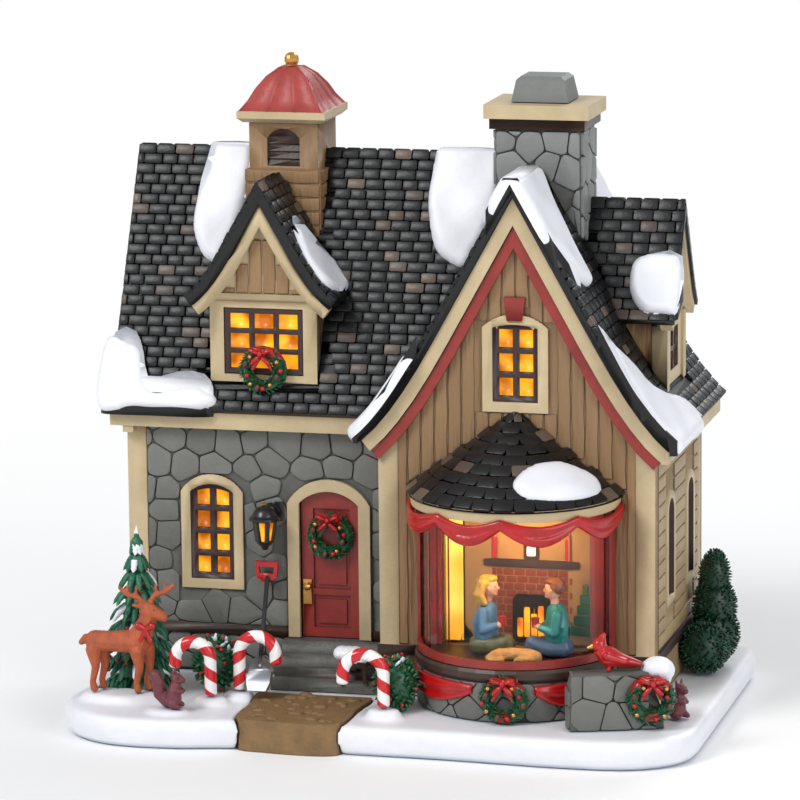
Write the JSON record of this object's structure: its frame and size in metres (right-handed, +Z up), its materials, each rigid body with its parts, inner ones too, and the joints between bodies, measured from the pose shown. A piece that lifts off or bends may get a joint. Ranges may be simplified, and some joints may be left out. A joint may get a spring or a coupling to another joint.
{
  "type": "lighted christmas village house",
  "caption": "Small lit ceramic village house with steep shingled roofs, dormers, cupola and a bow window scene, on a snowy base with garden figures; battery box underneath.",
  "frame": {"origin": "centre of the plan, on the table", "axes": "+Z up, -Y is the front with the door and the bow window, +X is the right-hand end with the side dormer"},
  "size_m": [0.202, 0.1358, 0.205],
  "materials": {
    "snow": "glazed white snow",
    "earth": "matt painted brown",
    "stone": "matt painted stone",
    "planks": "matt painted boards",
    "shingle": "satin painted shingles with white snow",
    "beige_trim": "matt painted trim",
    "red_trim": "satin painted red",
    "brown_trim": "satin painted brown",
    "window_film": "amber film behind painted bars, lit from inside",
    "clear_pane": "clear moulded window",
    "gold": "gold paint",
    "lantern_black": "black with an amber pane",
    "shovel": "silver blade and red grip",
    "garland": "glossy red",
    "card": "printed card",
    "figures": "glossy painted figures",
    "greenery": "dark green with snow and berries",
    "animals": "satin painted red-brown",
    "lamp_socket": "off-white",
    "bulb": "warm white bulb",
    "black_plastic": "black",
    "cell": "plain printed sleeve"
  },
  "bodies": {
    "house": {"base_plate": "snow", "path_slab": "earth", "door_steps": "stone", "left_front_wall": "stone", "left_end_wall": "stone", "chimney_stack": "stone", "chimney_pot": "stone", "bay_base": "stone", "garden_wall": "stone", "rear_wall": "planks", "gable_front_wall": "planks", "right_side_wall": "planks", "cupola_body": "planks", "main_roof": "shingle", "gable_roof": "shingle", "front_dormer_roof": "shingle", "side_dormer_roof": "shingle", "bay_roof": "shingle", "eave_board": "beige_trim", "gable_bargeboard": "beige_trim", "chimney_cap": "beige_trim", "door_frame": "beige_trim", "front_dormer": "beige_trim", "side_dormer": "beige_trim", "gable_trim": "red_trim", "door_leaf": "red_trim", "cupola_roof": "red_trim", "bay_frame": "red_trim", "bay_sill": "brown_trim", "front_window": "window_film", "gable_window": "window_film", "front_dormer_window": "window_film", "bay_pane": "clear_pane", "finial": "gold", "wall_lantern": "lantern_black", "snow_shovel": "shovel", "bay_valance": "garland", "candy_cane_1": "garland", "candy_cane_2": "garland", "candy_cane_3": "garland", "cardinal": "garland", "backdrop_card": "card", "seated_woman": "figures", "seated_man": "figures", "sleeping_dog": "figures", "christmas_tree": "greenery", "berry_bush_left": "greenery", "berry_bush_right": "greenery", "topiary": "greenery", "reindeer": "animals", "squirrel_front": "animals", "squirrel_side": "animals", "lamp_holder": "lamp_socket", "lamp_bulb": "bulb", "battery_box": "black_plastic", "battery_cell_1": "cell", "battery_cell_2": "cell"},
    "battery_door": {"battery_door": "black_plastic"},
    "switch": {"switch_slider": "black_plastic"}
  },
  "joints": [
    {"name": "battery_door_hinge", "type": "hinge", "parent": "house", "child": "battery_door", "pos_m": [-0.049, 0.01315, 0.00125], "axis": [-1, 0, 0], "range_deg": [0, 90]},
    {"name": "switch_slide", "type": "slide", "parent": "house", "child": "switch", "axis": [0, 1, 0], "range_m": [0, 0.004]}
  ]
}
